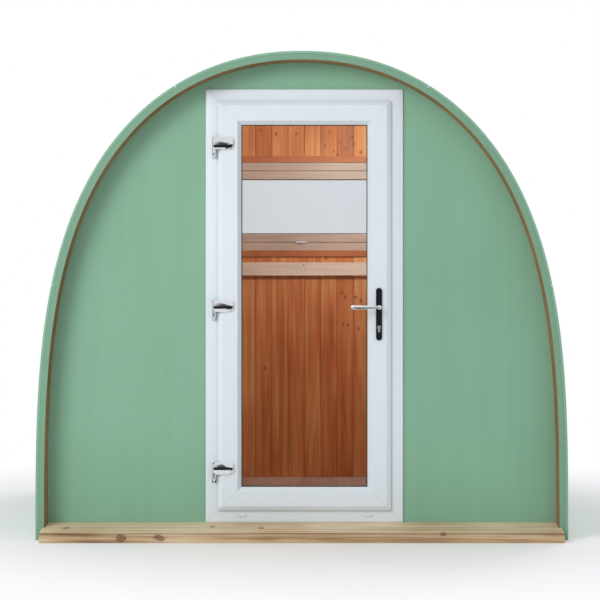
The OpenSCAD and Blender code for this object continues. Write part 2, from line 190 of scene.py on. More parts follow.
# %% Turned solids
def turned(centre, axis, profile, tone=0.5, count=40):
    """A turned solid: profile holds pairs of place along the axis and radius."""
    across, up, along = AXES[axis]
    points = []
    for place, radius in profile:
        for i in range(count):
            turn = 2 * math.pi * i / count
            point = list(centre)
            point[across] += radius * math.cos(turn)
            point[up] += radius * math.sin(turn)
            point[along] = place
            points.append(point)
    faces = [list(range(count)), list(range(len(points) - count, len(points)))]
    for ring in range(len(profile) - 1):
        start = ring * count
        for i in range(count):
            j = (i + 1) % count
            faces.append([start + i, start + j, start + count + j, start + count + i])
    return points, faces, [0] * len(faces), tone


print("a turned disc has", len(turned((0, 0, 0), "y", [(0, 1), (1, 1)])[1]), "faces")

# %% [markdown]
# A bent board is a section carried along the arch. Its inset follows the slope of the curve, so the
# board is equally thick all the way round.

# %% Solids swept along the arch
def arch_sweep(section, first, last, count, tone=0.5, paints=None):
    """A solid along the arch; section holds pairs of depth and inset, with a paint for each side."""
    points = []
    for i in range(count + 1):
        step = first + (last - first) * i / count
        for y, inset in section:
            x, z = arch_point(step, inset)
            points.append((x, y, z))
    size = len(section)
    faces = [list(range(size)), list(range(count * size, (count + 1) * size))]
    paint_list = [0, 0]
    for i in range(count):
        for j in range(size):
            k = (j + 1) % size
            faces.append([i * size + j, i * size + k, (i + 1) * size + k, (i + 1) * size + j])
            paint_list.append(paints[j] if paints else 0)
    return points, faces, paint_list, tone


print("halfway up its side the arch is", round(2 * arch_point(0.5, 0)[0], 3), "m wide")

# %% [markdown]
# ## Turning solids into pieces
# Real edges are never knife sharp: paint, plastic and sawn wood all catch light on a small round. The
# Bevel modifier gives each piece that round and leaves its solids simple. Each piece then rides on the
# body that carries it and hides the CAD nodes that it stands for.

# %% Make one piece from its solids
MADE = []
BEVEL_ANGLE = math.radians(30)
SHARP_ANGLE = math.radians(32)


def soften(piece, edge, segments=2):
    """Rounds every edge sharper than the bevel angle."""
    bevel = piece.modifiers.new("round edges", "BEVEL")
    bevel.width = edge
    bevel.segments = segments
    bevel.limit_method = "ANGLE"
    bevel.angle_limit = BEVEL_ANGLE
    bevel.harden_normals = True


def make(name, solids, finishes, body, replaced=(), edge=0.0015, segments=2):
    """One piece from its solids."""
    points, faces, paints, tones = [], [], [], []
    for solid_points, solid_faces, solid_paints, tone in solids:
        start = len(points)
        points += [tuple(point) for point in solid_points]
        faces += [[start + i for i in face] for face in solid_faces]
        paints += solid_paints
        tones += [tone] * len(solid_points)
    mesh = bpy.data.meshes.new(name)
    mesh.from_pydata(points, [], faces)
    for finish in finishes:
        mesh.materials.append(finish)
    mesh.polygons.foreach_set("material_index", paints)
    mesh.attributes.new("tone", "FLOAT", "POINT").data.foreach_set("value", tones)
    piece = bpy.data.objects.new(name, mesh)
    bpy.context.scene.collection.objects.link(piece)
    bpy.context.view_layer.objects.active = piece
    bpy.ops.object.mode_set(mode="EDIT")
    bpy.ops.mesh.select_all(action="SELECT")
    bpy.ops.mesh.normals_make_consistent(inside=False)
    bpy.ops.object.mode_set(mode="OBJECT")
    mesh.shade_smooth()
    mesh.set_sharp_from_angle(angle=SHARP_ANGLE)
    if edge:
        soften(piece, edge, segments)
    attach(piece, body)
    if replaced:
        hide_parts(*replaced)
    MADE.append(name)
    return piece


print("edges sharper than", round(math.degrees(BEVEL_ANGLE)), "degrees get a round")

# %% [markdown]
# ## Parts whose CAD shape is right already
# Some CAD parts only need a finish. Others need their edges rounded too, and a CAD mesh can't take that:
# its flats are cut into triangles that share no points. A clean copy joins the points, dissolves the
# cuts inside each flat and then takes the bevel.

# %% Dress a CAD node, or round a clean copy of it
def dress(names, finish):
    """Gives CAD nodes a finish."""
    for name in names:
        for slot in nodes[name].material_slots:
            slot.material = finish
    print("dressed", ", ".join(names))


def round_copy(name, finish, edge, segments=2):
    """A copy of a CAD node with whole flats and round edges, which stands for the node."""
    shape = bmesh.new()
    shape.from_mesh(nodes[name].data)
    bmesh.ops.remove_doubles(shape, verts=shape.verts, dist=0.00001)
    bmesh.ops.recalc_face_normals(shape, faces=shape.faces)
    bmesh.ops.dissolve_limit(shape, angle_limit=math.radians(1), verts=shape.verts, edges=shape.edges)
    points = [tuple(vert.co) for vert in shape.verts]
    faces = [[vert.index for vert in face.verts] for face in shape.faces]
    shape.free()
    body = nodes[name]["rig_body"]
    solid = (points, faces, [0] * len(faces), 0.5)
    return make(name + "_rounded", [solid], [finish], body, [name], edge, segments)


print(len(nodes), "CAD nodes wait for a finish or a finer piece")

# %% [markdown]
# ## Small tools for finishes
# A finish is a set of shader nodes. Noise in the object's own metres gives the spread of colour, a ramp
# turns it into shades, and a bump node makes relief from the same noise, so colour and relief agree.

# %% Colours, shader nodes and noise
def colour(red, green, blue):
    """Display values from 0 to 255 as the linear colour that a shader takes."""
    def linear(value):
        share = value / 255
        return share / 12.92 if share < 0.04 else ((share + 0.055) / 1.055) ** 2.4
    return linear(red), linear(green), linear(blue), 1.0


def add(tree, kind, inputs=None, **settings):
    """Adds a shader node, sets it up and joins or fills its inputs."""
    made = tree.nodes.new(kind)
    for key, value in settings.items():
        setattr(made, key, value)
    for key, value in (inputs or {}).items():
        if isinstance(value, bpy.types.NodeSocket):
            tree.links.new(value, made.inputs[key])
        else:
            made.inputs[key].default_value = value
    return made


def sums(tree, operation, a, b=0.0, c=0.0):
    return add(tree, "ShaderNodeMath", {0: a, 1: b, 2: c}, operation=operation).outputs[0]


def noise(tree, scale, stretch=(1, 1, 1), detail=4.0, warp=0.0, per_board=False):
    """Noise in metres; per_board shifts it by each board's tone, so no two boards match."""
    place = add(tree, "ShaderNodeTexCoord").outputs["Object"]
    if per_board:
        tone = add(tree, "ShaderNodeAttribute", attribute_name="tone").outputs["Fac"]
        jump = sums(tree, "MULTIPLY", tone, 37.0)
        place = add(tree, "ShaderNodeVectorMath", {0: place, 1: jump}, operation="ADD").outputs[0]
    place = add(tree, "ShaderNodeMapping", {"Vector": place, "Scale": stretch}).outputs[0]
    settings = {"Vector": place, "Scale": scale, "Detail": detail, "Distortion": warp}
    return add(tree, "ShaderNodeTexNoise", settings).outputs["Fac"]


print("mid grey on screen is", round(colour(128, 128, 128)[0], 3), "in a shader")

# %% [markdown]
# Several noises are summed by weight and a ramp turns the sum into shades. Noise seldom reaches 0 or 1,
# so a helper stretches its middle to the range that a socket needs.

# %% Shades and relief
def blend_of(tree, parts):
    """The weighted sum of several amounts."""
    total = 0.0
    for amount, weight in parts:
        total = sums(tree, "MULTIPLY_ADD", amount, weight, total)
    return total


def ramp(tree, amount, stops):
    """Shades along an amount; stops hold pairs of place and colour."""
    made = add(tree, "ShaderNodeValToRGB", {"Fac": amount})
    elements = made.color_ramp.elements
    elements[0].position, elements[0].color = stops[0]
    elements[1].position, elements[1].color = stops[-1]
    for place, shade in stops[1:-1]:
        elements.new(place).color = shade
    return made.outputs["Color"]


def spread(tree, amount, low, high):
    """Noise, which lies mostly between 0.3 and 0.7, as a value between two others."""
    settings = {"Value": amount, "From Min": 0.3, "From Max": 0.7, "To Min": low, "To Max": high}
    return add(tree, "ShaderNodeMapRange", settings).outputs["Result"]


def relief(tree, shader, height, strength, depth):
    settings = {"Height": height, "Strength": strength, "Distance": depth}
    bump = add(tree, "ShaderNodeBump", settings)
    tree.links.new(bump.outputs["Normal"], shader.inputs["Normal"])


def finish_named(name):
    made = bpy.data.materials.new(name)
    made.use_nodes = True
    return made, made.node_tree, made.node_tree.nodes["Principled BSDF"]


print("shading helpers: weighted sums, ramps, spreads and relief")

# %% [markdown]
# Paint, plastic and plating are one kind of finish: a smooth coat with a slow drift in its colour, faint
# streaks and a fine grain. One function makes them all, and its arguments say how they differ.

# %% A smooth coat
def coat(name, dark, light, rough, bump=0.1, scale=350.0, depth=0.0004, streak=0.3, metal=0.0):
    """A smooth coat: paint, plastic, plated or powder-coated metal."""
    made, tree, shader = finish_named(name)
    broad = noise(tree, 1.4, detail=3.0)
    streaks = noise(tree, 1.0, stretch=(26, 26, 1.3))
    fine = noise(tree, scale, detail=2.0)
    amount = blend_of(tree, [(broad, 0.7 - streak), (streaks, streak), (fine, 0.3)])
    shade = ramp(tree, amount, [(0.34, dark), (0.66, light)])
    tree.links.new(shade, shader.inputs["Base Color"])
    tree.links.new(spread(tree, broad, *rough), shader.inputs["Roughness"])
    shader.inputs["Metallic"].default_value = metal
    relief(tree, shader, fine, bump, depth)
    return made


print("coat() serves paint, plastic, rubber and metal")

# %% [markdown]
# ## Wood
# Sawn wood has long streaks along the grain, growth lines that swing to and fro, a tone of its own for
# each board, and knots. The streaks are noise stretched along the grain. A knot is a dark oval with a
# darker ring, so its distance field goes through a ramp of its own.

# %% Knots
def knot_field(tree, knots, squash):
    """1 at the middle of each knot, down to 0 at three times its radius."""
    place = add(tree, "ShaderNodeTexCoord").outputs["Object"]
    rough = noise(tree, 60.0, detail=2.0)
    total = None
    for x, y, z, radius in knots:
        away = add(tree, "ShaderNodeVectorMath", {0: place, 1: (x, y, z)}, operation="SUBTRACT").outputs[0]
        away = add(tree, "ShaderNodeVectorMath", {0: away, 1: squash}, operation="MULTIPLY").outputs[0]
        far = add(tree, "ShaderNodeVectorMath", {0: away}, operation="LENGTH").outputs["Value"]
        far = sums(tree, "MULTIPLY", far, spread(tree, rough, 0.8, 1.2))
        settings = {"Value": far, "From Max": 3 * radius, "To Min": 1.0, "To Max": 0.0}
        field = add(tree, "ShaderNodeMapRange", settings).outputs["Result"]
        total = field if total is None else sums(tree, "MAXIMUM", total, field)
    return total


print("a knot reaches out to three times its radius")

# %% [markdown]
# Timber sums streaks, a broad drift, growth lines and the board's own tone. The relief comes from the
# same streaks, so that a groove in the wood is also its darker line.

# %% Timber
def timber(name, shades, stretch, knots=(), squash=(1, 1, 1), knot_shade=None, rough=(0.5, 0.7),
           tone_weight=0.35, bleach_and_top_light=0.0, arris_shade_level=None, reach=0.23):
    """Sawn wood; stretch is small along the grain and large across it. Faces that look up are made paler,
    which is painted light from the sky together with weathering, and a given level draws a thin dark line
    along the front edge there, which is painted shade."""
    made, tree, shader = finish_named(name)
    streaks = noise(tree, 1.0, stretch, detail=6.0, warp=0.3, per_board=True)
    broad = noise(tree, 2.2, detail=2.0, per_board=True)
    slow = noise(tree, 0.35, stretch, detail=2.0, warp=0.6, per_board=True)
    lines = sums(tree, "SINE", sums(tree, "MULTIPLY", slow, 60.0))
    tone = add(tree, "ShaderNodeAttribute", attribute_name="tone").outputs["Fac"]
    parts = [(streaks, 0.5), (broad, 0.5 - tone_weight / 2), (lines, 0.035), (tone, tone_weight)]
    # Faces that look up are painted paler: light from the sky above, together with weathering.
    if bleach_and_top_light:
        upward = add(tree, "ShaderNodeNewGeometry").outputs["Normal"]
        upward = add(tree, "ShaderNodeSeparateXYZ", {0: upward}).outputs["Z"]
        parts.append((sums(tree, "MAXIMUM", upward, 0.0), bleach_and_top_light))
    amount = blend_of(tree, parts)
    dark, middle, light = shades
    shade = ramp(tree, amount, [(0.53 - reach, dark), (0.52, middle), (0.53 + reach, light)])
    height = streaks
    if knots:
        field = knot_field(tree, knots, squash)
        black, white = (0, 0, 0, 1), (1, 1, 1, 1)
        grey = (0.55, 0.55, 0.55, 1)
        stops = [(0.0, black), (0.45, (0.12, 0.12, 0.12, 1)), (0.63, white), (0.72, grey), (1.0, white)]
        cover = ramp(tree, field, stops)
        mix = add(tree, "ShaderNodeMix", {0: cover, 6: shade, 7: knot_shade or dark}, data_type="RGBA")
        shade = mix.outputs[2]
        height = sums(tree, "SUBTRACT", streaks, sums(tree, "MULTIPLY", field, 0.3))
    # A thin dark line at a given level: painted shade where a sill's top meets its front face.
    if arris_shade_level:
        place = add(tree, "ShaderNodeTexCoord").outputs["Object"]
        level = add(tree, "ShaderNodeSeparateXYZ", {0: place}).outputs["Z"]
        level = sums(tree, "ADD", level, spread(tree, streaks, -0.0006, 0.0006))
        away = sums(tree, "ABSOLUTE", sums(tree, "SUBTRACT", level, arris_shade_level))
        settings = {"Value": away, "From Max": 0.0034, "To Min": 1.0, "To Max": 0.0}
        line = add(tree, "ShaderNodeMapRange", settings).outputs["Result"]
        settings = {0: line, 6: shade, 7: colour(84, 56, 32)}
        mix = add(tree, "ShaderNodeMix", settings, data_type="RGBA")
        shade = mix.outputs[2]
    tree.links.new(shade, shader.inputs["Base Color"])
    tree.links.new(spread(tree, streaks, *rough), shader.inputs["Roughness"])
    relief(tree, shader, height, 0.25, 0.0012)
    return made


print("timber() serves boards, trim, bearers and sills")

# %% [markdown]
# ## The finishes of this pod
# Green satin paint outside, white plastic at the door, orange pine inside and pale planed timber round
# the window. Each colour is written as it looks on screen, and the lamps are set so that it renders so.

# %% Paint, plastic, metal and rubber
green = coat("green satin paint", colour(121, 167, 139), colour(131, 177, 150), (0.42, 0.56), bump=0.12)
# The rims take the same green paint made darker: painted shade, because their faces stand in full light.
shaded_rim_green = coat("green painted edges", colour(109, 151, 125), colour(119, 161, 136), (0.45, 0.6), bump=0.2)
plastic = coat("white plastic", colour(214, 223, 230), colour(221, 229, 236), (0.28, 0.4), bump=0.05,
               streak=0.1)
chrome = coat("chrome", colour(206, 208, 212), colour(228, 229, 232), (0.02, 0.06), bump=0.01, streak=0.1,
              metal=1.0)
steel = coat("satin steel", colour(176, 178, 180), colour(204, 205, 206), (0.22, 0.34), bump=0.06,
             scale=900.0, metal=1.0)
black = coat("black metal", colour(8, 11, 15), colour(17, 20, 26), (0.3, 0.42), bump=0.15, scale=700.0)
black.node_tree.nodes["Principled BSDF"].inputs["Specular IOR Level"].default_value = 0.2
rubber = coat("black rubber", colour(20, 20, 22), colour(34, 34, 36), (0.6, 0.8), bump=0.2, scale=500.0)
print([finish.name for finish in bpy.data.materials])

# %% [markdown]
# Each wood has three shades: of its dark grain, its body and its light grain. Oiled pine is orange, the
# planed timber round the window is pale, and the treated sill has a green-brown tinge.

# %% Shades of wood
PINE = (colour(165, 88, 38), colour(208, 131, 70), colour(238, 186, 122))
# The trim's shades are the pine made darker: painted shade, as the strip round the window lies in shade.
SHADED_TRIM = (colour(150, 84, 44), colour(184, 110, 62), colour(206, 138, 88))
# The rail's shades are the pale planed timber made brighter: painted light, where the room lamp reaches it
# too little.
LIT_RAIL = (colour(214, 204, 188), colour(236, 229, 215), colour(246, 240, 230))
PALE = (colour(176, 160, 144), colour(200, 188, 174), colour(218, 209, 197))
TREATED = (colour(112, 80, 48), colour(180, 150, 112), colour(222, 204, 172))
BARE = (colour(104, 70, 34), colour(142, 102, 58), colour(168, 128, 80))
GREY = (colour(158, 156, 152), colour(190, 188, 184), colour(210, 208, 205))

print("pine, pale, treated, bare and grey wood, in three shades each")

# %% [markdown]
# Knots come in rows, because a tree grows its branches in whorls. Each place is written down, and only
# the sizes are drawn by chance.

# %% The woods, with their knots
BACK_KNOTS = [(-0.235, 2.07), (-0.145, 2.05), (-0.03, 2.05), (0.135, 1.98), (0.185, 1.95), (0.205, 1.93),
              (0.255, 1.965), (0.34, 1.945), (0.23, 1.14), (0.25, 1.115), (0.31, 1.115), (0.34, 1.095),
              (0.24, 0.96), (0.265, 0.955), (0.325, 0.935), (0.14, 1.34), (0.085, 1.33), (-0.21, 0.71),
              (-0.12, 0.42), (-0.70, 1.32), (-0.88, 0.64), (0.62, 1.22), (0.81, 0.47), (-0.62, 1.94),
              (0.16, 2.06), (0.29, 2.03), (0.30, 1.99), (0.22, 2.0), (0.36, 1.9), (0.17, 1.91)]
back_knots = [(x, ROOM_BACK, z, chance.uniform(0.0034, 0.0056)) for x, z in BACK_KNOTS]
SILL_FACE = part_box("front_sill")[0].y
SILL_KNOTS = [(-0.82, SILL_FACE, 0.022, 0.012), (-0.65, SILL_FACE, 0.026, 0.009),
              (-0.633, SILL_FACE, 0.02, 0.007), (0.64, SILL_FACE, 0.041, 0.006), (-1.08, -1.06, 0.06, 0.007),
              (-0.41, -1.03, 0.06, 0.006), (-0.185, -1.06, 0.06, 0.006)]
wall_pine = timber("pine wall boards", PINE, (30, 30, 1.1), knots=back_knots, squash=(1, 0, 0.7),
                   knot_shade=colour(138, 72, 34), tone_weight=0.24)
arch_pine = timber("pine arch boards", PINE, (24, 1.1, 24))
shaded_trim_pine = timber("pine trim", SHADED_TRIM, (3, 40, 3))
pale_wood = timber("pale planed timber", PALE, (1.6, 34, 34), tone_weight=0.1)
lit_rail_wood = timber("pale rail timber with painted light", LIT_RAIL, (1.6, 34, 34), tone_weight=0.1)
# The sills' upward faces are painted paler, as sky light, and a painted shade line runs along their front
# edge.
treated = timber("treated timber", TREATED, (1.4, 44, 44), knots=SILL_KNOTS, squash=(0.7, 0.6, 1),
                 knot_shade=colour(104, 62, 36), tone_weight=0.1, bleach_and_top_light=0.11, arris_shade_level=0.042, reach=0.19)
bearer_wood = timber("treated bearers", TREATED, (44, 1.4, 44), tone_weight=0.1)
bare_rim = timber("bare rim edge", BARE, (3, 70, 3), tone_weight=0.1)
grey_boards = timber("grey floor boards", GREY, (30, 1.2, 30))
print(len(back_knots), "knots in the back wall and", len(bpy.data.materials), "finishes so far")

# %% [markdown]
# ## Glass
# Both panes are sealed double glazing. A thin grey-blue body that is mostly clear is enough: the room
# behind it stays bright, and the reflections of a smooth surface still show. The window pane's pale blue
# is painted sky, seen through it and mirrored in it. A shader that bends light would darken the room,
# because lamps light a room poorly through it.

# %% Glass finishes
def pane(name, shade, solidity):
    made, tree, shader = finish_named(name)
    shader.inputs["Base Color"].default_value = shade
    shader.inputs["Alpha"].default_value = solidity
    shader.inputs["IOR"].default_value = 1.5
    smear = noise(tree, 9.0, stretch=(1, 1, 0.4), detail=5.0)
    tree.links.new(spread(tree, smear, 0.01, 0.07), shader.inputs["Roughness"])
    return made


dress(["door_glass"], pane("door glass", colour(34, 42, 46), 0.05))
# The window pane's blue is painted sky, seen through the pane and mirrored in it.
dress(["window_glass"], pane("window glass", colour(122, 170, 205), 0.2))

# %% [markdown]
# ## The shell
# Five painted sheets are bent over the ribs, each on its own insulated core. Sweeping a stepped section
# along the arch gives sheet and core in one solid. The fine gap left at each seam is where two sheets
# meet.

# %% Sweep the five shell panels
PANELS = ["left_side_panel", "left_haunch_panel", "crown_panel", "right_haunch_panel", "right_side_panel"]
SEAM = 0.0004
shell_section = [(SHELL_FRONT, 0), (SHELL_BACK, 0), (SHELL_BACK, SKIN), (BACK_INNER, SKIN),
                 (BACK_INNER, CORE), (WALL_BACK, CORE), (WALL_BACK, SKIN), (SHELL_FRONT, SKIN)]
for number, name in enumerate(PANELS):
    first = -1 + 0.4 * number
    start = first + (SEAM if number else 0)
    end = first + 0.4 - (SEAM if number < len(PANELS) - 1 else 0)
    make(name + "_sheet", [arch_sweep(shell_section, start, end, 32)], [green], "pod",
         [name], edge=0.0012)
print("shell:", len(PANELS), "bent panels")

# %% [markdown]
# ## The rims
# A bent board lines each end of the shell. Its end face takes the shell's green a little darker, which is
# painted shade, and its inner face is bare wood that has gone brown. One sweep with a paint number for
# each side of the section does both.

# %% Sweep the four rim boards
def rim(name, front, back, first, last):
    section = [(front, SKIN), (back, SKIN), (back, RIM), (front, RIM)]
    outer = 3 if front < 0 else 1
    paints = [0, 1, 1, 1]
    paints[outer] = 0
    return make(name + "_board", [arch_sweep(section, first, last, 72, paints=paints)],
                [shaded_rim_green, bare_rim], "pod", [name], edge=0.002)


for side, first, last in (("left", -1, 0), ("right", 0, 1)):
    rim("front_rim_" + side, SHELL_FRONT, WALL_FACE, first, last)
    rim("back_rim_" + side, BACK_FACE, SHELL_BACK, first, last)
print("rims:", [name for name in MADE if "rim" in name])

# %% [markdown]
# ## End walls
# The end walls are flat boards under the same green paint, so their CAD meshes are right as they are.

# %% Paint the end walls
dress(["front_wall_left", "front_wall_right", "front_wall_head", "back_wall_left", "back_wall_right",
       "back_wall_below", "back_wall_above"], green)

# %% [markdown]
# ## Lining boards
# Tongued boards line the room: upright on the end walls, lengthwise round the arch. Each board is a
# solid of its own with its own tone, and the rounded edges of two neighbours make the V of the joint.
# A board that meets a doorway or a window is notched round it, as a joiner would cut it.

# %% Upright boards on the end walls
BOARD_W = 0.0935
JOINT = 0.0006
BOARD_START = 0.017
SIDE_LIMIT = HALF_W - CORE - 0.0005


def board_outlines(left, right, opening):
    """The outlines of one board, above the floor, under the arch and round an opening."""
    (open_left, open_low), (open_right, open_high) = opening
    top = [(left + (right - left) * i / 8, arch_height(left + (right - left) * i / 8, CORE))
           for i in range(8, -1, -1)]
    foot = [(left, FLOOR_TOP), (right, FLOOR_TOP)]
    if right <= open_left or left >= open_right or open_high >= top[4][1]:
        return [foot + top]
    if left >= open_left and right <= open_right:
        head = [[(left, open_high), (right, open_high)] + top]
        return head + ([foot + [(right, open_low), (left, open_low)]] if open_low > FLOOR_TOP else [])
    if left < open_left:
        notch = [(right, open_low), (open_left, open_low), (open_left, open_high), (right, open_high)]
        if open_low <= FLOOR_TOP:
            return [[(left, FLOOR_TOP), (open_left, FLOOR_TOP)] + notch[2:] + top]
        return [foot + notch + top]
    notch = [(left, open_high), (open_right, open_high), (open_right, open_low), (left, open_low)]
    if open_low <= FLOOR_TOP:
        return [[(open_right, FLOOR_TOP), (right, FLOOR_TOP)] + top + notch[:2]]
    return [foot + top + notch]


def upright_boards(name, node, opening):
    low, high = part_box(node)
    solids = []
    joints = [BOARD_START + BOARD_W * k for k in range(-13, 14)]
    edges = [-SIDE_LIMIT] + [x for x in joints if abs(x) < SIDE_LIMIT - 0.02] + [SIDE_LIMIT]
    for left, right in zip(edges, edges[1:]):
        tone = chance.uniform(0.2, 0.8)
        for outline in board_outlines(left + JOINT, right - JOINT, opening):
            solids.append(prism(outline, "y", low.y, high.y, tone))
    make(name, solids, [wall_pine], "pod", [node], edge=0.003, segments=1)
    print(name, len(solids), "boards")


def face_of(node):
    low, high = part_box(node)
    return (low.x, low.z), (high.x, high.z)


upright_boards("back_wall_boards", "back_lining", face_of("window_frame"))
upright_boards("front_wall_boards", "front_lining", face_of("door_frame"))

# %% [markdown]
# The arch's boards run the length of the room. Equal steps of the formula aren't equal lengths, so the
# curve is measured first and then shared out in widths of one board.

# %% Lengthwise boards round the arch
def steps_of_equal_length(inset, width):
    """Places along the arch about one board apart, from floor to floor."""
    fine = [-1 + i / 2000 for i in range(4001)]
    fine = [step for step in fine if arch_point(step, inset)[1] > FLOOR_TOP]
    lengths = [0.0]
    for a, b in zip(fine, fine[1:]):
        lengths.append(lengths[-1] + math.dist(arch_point(a, inset), arch_point(b, inset)))
    count = round(lengths[-1] / width)
    places = []
    for number in range(count + 1):
        wanted = lengths[-1] * number / count
        places.append(fine[min(range(len(fine)), key=lambda i: abs(lengths[i] - wanted))])
    return places


arch_boards = []
places = steps_of_equal_length(LINING, BOARD_W)
for first, last in zip(places, places[1:]):
    section = [(ROOM_FRONT, CORE), (ROOM_BACK, CORE), (ROOM_BACK, LINING), (ROOM_FRONT, LINING)]
    arch_boards.append(arch_sweep(section, first, last, 3, chance.uniform(0.2, 0.8)))
make("arch_boards", arch_boards, [arch_pine], "pod", ["arch_lining"], edge=0.003,
     segments=1)
print("arch:", len(arch_boards), "boards")

# %% [markdown]
# ## Floor and sills
# The floor is pale grey boards on timber bearers. The sills are single treated planks: their CAD solids
# have the slope and the horns already, so they only need worn edges and a grain along their length.

# %% Floor boards, bearers and sills
low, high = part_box("floor_deck")
FLOOR_BOARDS = 12
floor_solids = []
for number in range(FLOOR_BOARDS):
    left = low.x + (high.x - low.x) * number / FLOOR_BOARDS
    right = low.x + (high.x - low.x) * (number + 1) / FLOOR_BOARDS
    outline = box_outline(left, low.z, right, high.z)
    floor_solids.append(prism(outline, "y", low.y, high.y, chance.uniform(0.3, 0.7)))
make("floor_planks", floor_solids, [grey_boards], "pod", ["floor_deck"], edge=0.0015,
     segments=1)
round_copy("floor_bearers", bearer_wood, 0.002)
for name in ("front_sill", "back_sill"):
    round_copy(name, treated, 0.0035, segments=3)
print("floor:", FLOOR_BOARDS, "boards and two sills")

# %% [markdown]
# ## Back window
# A pale timber frame holds a sash with double glazing, and orange pine trim hides the joint to the
# boards. All are square sections with planed edges, so the CAD solids stay and get small rounds.

# %% Window, trim and rail
for name in ("window_frame", "window_sash"):
    round_copy(name, pale_wood, 0.0025)
# The rail takes the brightened copy of the pale timber, which is painted light.
round_copy("back_wall_rail", lit_rail_wood, 0.0025)
# The trim takes the darker copy of the pine, which is painted shade.
round_copy("window_trim", shaded_trim_pine, 0.002)
print("window: frame, sash, trim and rail")

# %% [markdown]
# ## Door frame and leaf
# Both are hollow plastic sections, cut at 45 degrees and welded. The weld is planed flat but stays
# visible as a fine line across each corner, so the finish draws that diagonal from the frame's own box.

# %% White plastic with welded corners
def welded_plastic(name, low, high, reach):
    """White plastic with a fine line across each corner of the box."""
    made = coat(name, colour(214, 223, 230), colour(221, 229, 236), (0.28, 0.4), bump=0.05, streak=0.1)
    tree = made.node_tree
    shader = tree.nodes["Principled BSDF"]
    place = add(tree, "ShaderNodeTexCoord").outputs["Object"]
    split = add(tree, "ShaderNodeSeparateXYZ", {0: place})
    from_edge = []
    for axis, near, far in (("X", low.x, high.x), ("Z", low.z, high.z)):
        away = sums(tree, "ABSOLUTE", sums(tree, "SUBTRACT", split.outputs[axis], (near + far) / 2))
        from_edge.append(sums(tree, "SUBTRACT", (far - near) / 2, away))
    off_line = sums(tree, "ABSOLUTE", sums(tree, "SUBTRACT", *from_edge))
    on_line = sums(tree, "LESS_THAN", off_line, 0.0008)
    in_corner = sums(tree, "LESS_THAN", from_edge[0], reach)
    weld = sums(tree, "MULTIPLY", on_line, in_corner)
    old = shader.inputs["Base Color"].links[0].from_socket
    settings = {0: sums(tree, "MULTIPLY", weld, 0.5), 6: old, 7: colour(150, 158, 166)}
    mix = add(tree, "ShaderNodeMix", settings, data_type="RGBA")
    tree.links.new(mix.outputs[2], shader.inputs["Base Color"])
    return made


frame_low, frame_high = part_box("door_frame")
leaf_low, leaf_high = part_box("door_leaf")
frame_finish = welded_plastic("white plastic frame", frame_low, frame_high, 0.07)
leaf_finish = welded_plastic("white plastic leaf", leaf_low, leaf_high, 0.12)
round_copy("door_frame", frame_finish, 0.0016)
round_copy("door_leaf", leaf_finish, 0.0016)
for name in ("drain_caps", "glazing_beads"):
    round_copy(name, plastic, 0.0015)
print("door:", round(leaf_high.x - leaf_low.x, 3), "m wide leaf")

# %% [markdown]
# ## Seals
# Black rubber shows as a fine dark line round the glass and in the joint between leaf and frame. Each
# seal is a thin ring between two rectangles, on the leaf, so that it swings with the door.

# %% Rubber rings
def ring(outer, inner, front, back):
    """A flat ring between two rectangles of (low x, low z, high x, high z)."""
    a, b = box_outline(*outer), box_outline(*inner)
    solids = []
    for i in range(4):
        j = (i + 1) % 4
        solids.append(prism([a[i], a[j], b[j], b[i]], "y", front, back))
    return solids


def grown(low, high, amount):
    return low.x - amount, low.z - amount, high.x + amount, high.z + amount


glass_low, glass_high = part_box("door_glass")
DAYLIGHT = -0.012
glass_seal = ring(grown(glass_low, glass_high, DAYLIGHT + 0.0005),
                  grown(glass_low, glass_high, DAYLIGHT - 0.004), glass_low.y - 0.004, glass_low.y - 0.0002)
edge_seal = ring(grown(leaf_low, leaf_high, -0.004), grown(leaf_low, leaf_high, -0.010),
                 frame_low.y - 0.005, frame_low.y - 0.0006)
make("glass_seal", glass_seal, [rubber], "door", edge=0.0008)
make("leaf_seal", edge_seal, [rubber], "door", edge=0.0008)
pane_low, pane_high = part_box("window_glass")
pane_seal = ring(grown(pane_low, pane_high, -0.0095), grown(pane_low, pane_high, -0.0135),
                 pane_low.y - 0.003, pane_low.y - 0.0002)
make("window_seal", pane_seal, [rubber], "pod", edge=0.0008)
rail_low, rail_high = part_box("back_wall_rail")
# A small black disc on the rail is painted shade: it stands for the dark of a bolt hole.
bolt_hole_shade = turned((0.013, 0, rail_high.z - 0.013), "y",
              [(rail_low.y - 0.0004, 0.0035), (rail_low.y + 0.002, 0.0045)], count=20)
make("rail_bolt_hole_shade", [bolt_hole_shade], [rubber], "pod", edge=0.0)
print("seals:", [name for name in MADE if name.endswith("seal")])

# %% [markdown]
# ## Hinges
# Each hinge has a flag on the leaf, a base on the frame and one pin. The flag's cover bulges a little,
# so it mirrors the sky above and the ground below. A cover with a flat face would mirror one small
# patch and look dead, so its section is an arc.

# %% The cover of a hinge
PIN = Vector(next(joint for joint in frame["joints"] if joint["name"] == "door_swing")["pos_m"])


COVER_HALF = 0.028
COVER_TAPER = 0.007
COVER_ROUND = 0.008
COVER_BULGE = 0.0045


